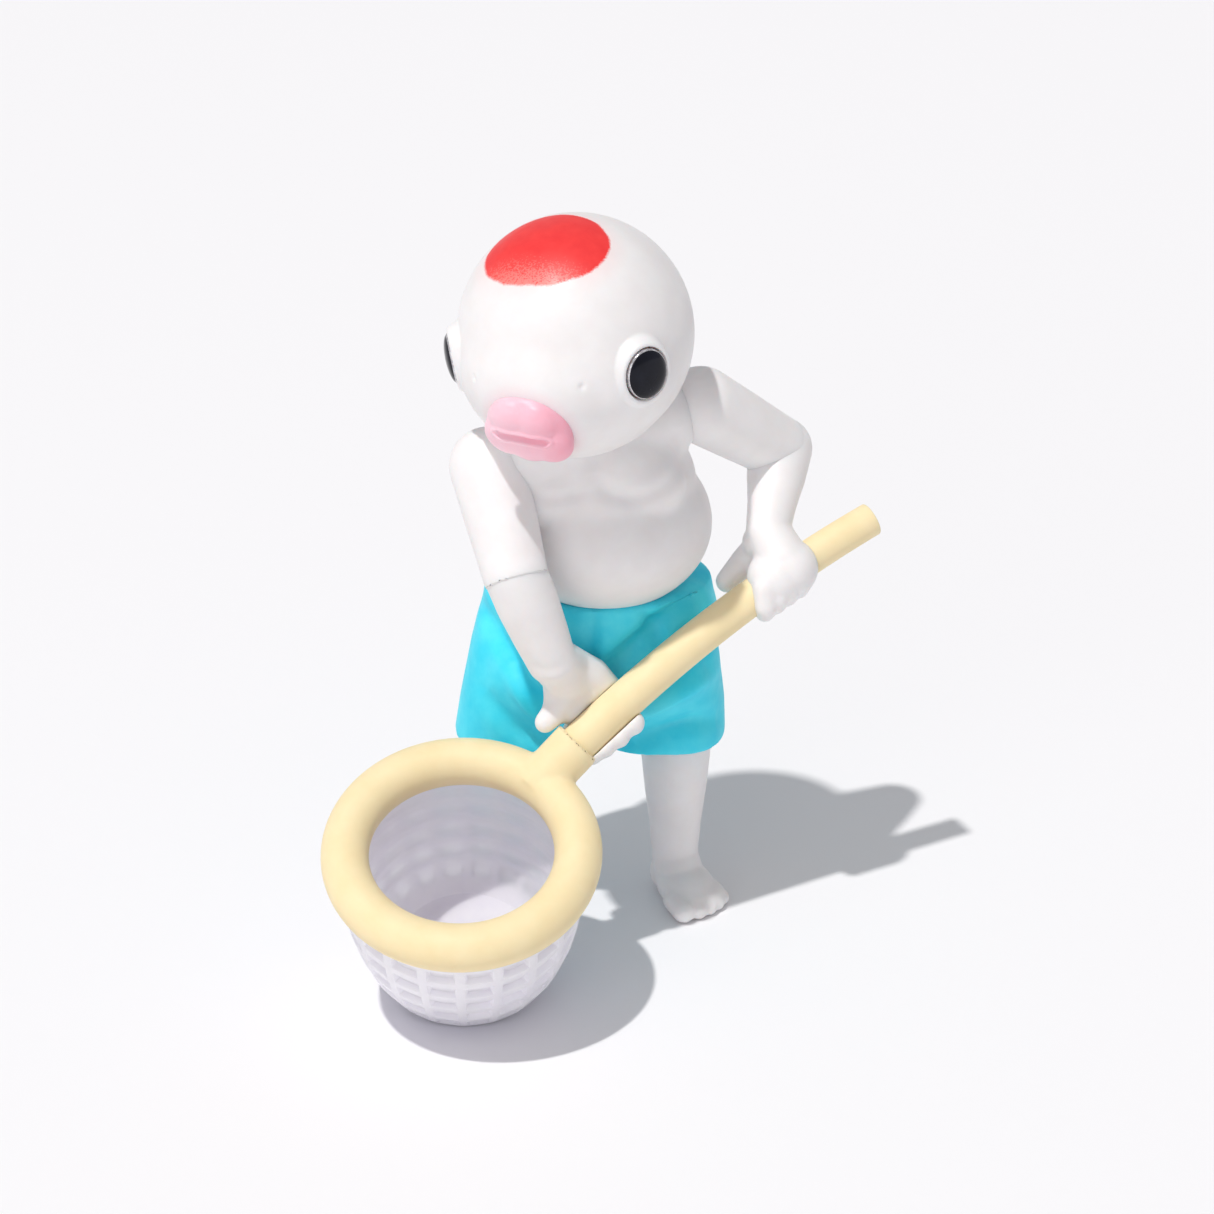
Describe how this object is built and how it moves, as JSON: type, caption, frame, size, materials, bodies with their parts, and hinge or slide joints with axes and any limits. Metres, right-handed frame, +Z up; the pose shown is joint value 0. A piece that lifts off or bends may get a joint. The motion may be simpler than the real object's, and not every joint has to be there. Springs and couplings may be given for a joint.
{
  "type": "vinyl art toy",
  "caption": "Small standing figurine with a round fish head, bare chest and swim trunks, holding a scoop net in both hands with the net's basket on the ground.",
  "frame": {"origin": "middle of the whole piece's footprint, on the surface it stands on", "axes": "+Z up, the chest faces -Y, the figure's left side is +X"},
  "size_m": [0.0418, 0.0347, 0.0589],
  "materials": {
    "white_vinyl": "soft satin white moulded vinyl, faintly translucent",
    "cyan_vinyl": "soft satin sky-blue moulded vinyl",
    "yellow_vinyl": "matte pale straw-yellow moulded vinyl",
    "lilac_vinyl": "satin lilac-white moulded vinyl",
    "pink_vinyl": "satin pink, a little darker towards one corner",
    "black_gloss": "glossy black, domed"
  },
  "bodies": {
    "figure": {"torso": "white_vinyl", "trunks": "cyan_vinyl"},
    "head": {"head": "white_vinyl", "lips": "pink_vinyl", "left_eye": "black_gloss", "right_eye": "black_gloss"},
    "right_arm": {"right_upper_arm": "white_vinyl", "right_forearm": "white_vinyl"},
    "left_arm": {"left_upper_arm": "white_vinyl", "left_forearm": "white_vinyl"},
    "net": {"net_hoop": "yellow_vinyl", "net_handle": "yellow_vinyl", "net_basket": "lilac_vinyl"},
    "left_leg": {"left_leg": "white_vinyl"},
    "right_leg": {"right_leg": "white_vinyl"}
  },
  "joints": [
    {"name": "head_swivel", "type": "hinge", "parent": "figure", "child": "head", "pos_m": [-0.0021, 0.0071, 0.0431], "axis": [0, -0.2419, 0.9703], "range_deg": [-15, 45]},
    {"name": "right_shoulder", "type": "hinge", "parent": "figure", "child": "right_arm", "pos_m": [-0.00856, 0.0052, 0.03956], "axis": [-0.9467, -0.2714, -0.1736], "range_deg": [0, 35]},
    {"name": "left_shoulder", "type": "hinge", "parent": "figure", "child": "left_arm", "pos_m": [0.00716, 0.0097, 0.04244], "axis": [-0.9467, -0.2714, -0.1736], "range_deg": [0, 35]},
    {"name": "net_slide", "type": "hinge", "parent": "right_arm", "child": "net", "pos_m": [0.04821, 0.02472, -0.05478], "axis": [0.4446, -0.8957, 0], "range_deg": [0, 3]},
    {"name": "left_hip_twist", "type": "hinge", "parent": "figure", "child": "left_leg", "pos_m": [0.00555, 0.0106, 0], "axis": [0, 0, 1], "range_deg": [-12, 12]},
    {"name": "right_hip_twist", "type": "hinge", "parent": "figure", "child": "right_leg", "pos_m": [-0.00765, 0.0106, 0], "axis": [0, 0, 1], "range_deg": [-12, 12]}
  ],
  "couplings": [
    {"joint": "left_shoulder", "follows": "right_shoulder", "ratio": 1}
  ]
}
